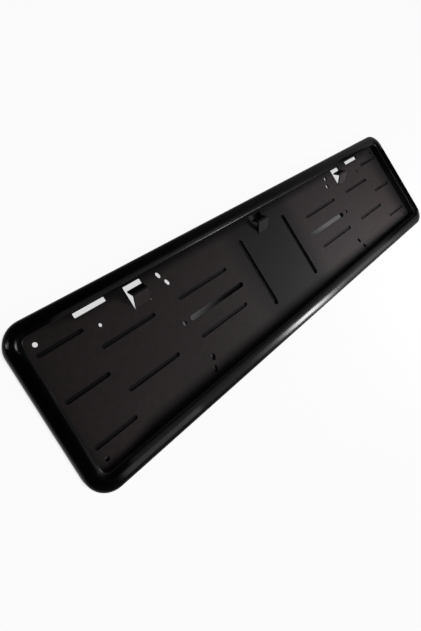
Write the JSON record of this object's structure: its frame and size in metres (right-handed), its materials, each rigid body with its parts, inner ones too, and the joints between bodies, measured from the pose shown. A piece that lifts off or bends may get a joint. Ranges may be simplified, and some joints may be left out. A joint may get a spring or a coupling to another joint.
{
  "type": "number plate holder",
  "caption": "Long shallow moulded tray with a rounded hollow rim that frames a car number plate, with spring tongues, screw slots and knock-out grooves in its floor.",
  "frame": {"origin": "middle of the back plane, where the holder meets the car", "axes": "+X along the length, +Y to the upper edge, +Z out of the front"},
  "size_m": [0.545, 0.137, 0.015],
  "materials": {
    "black_plastic": "black moulded plastic, glossy rim and matt grained floor"
  },
  "bodies": {
    "root": {"plate_holder": "black_plastic"}
  },
  "joints": []
}
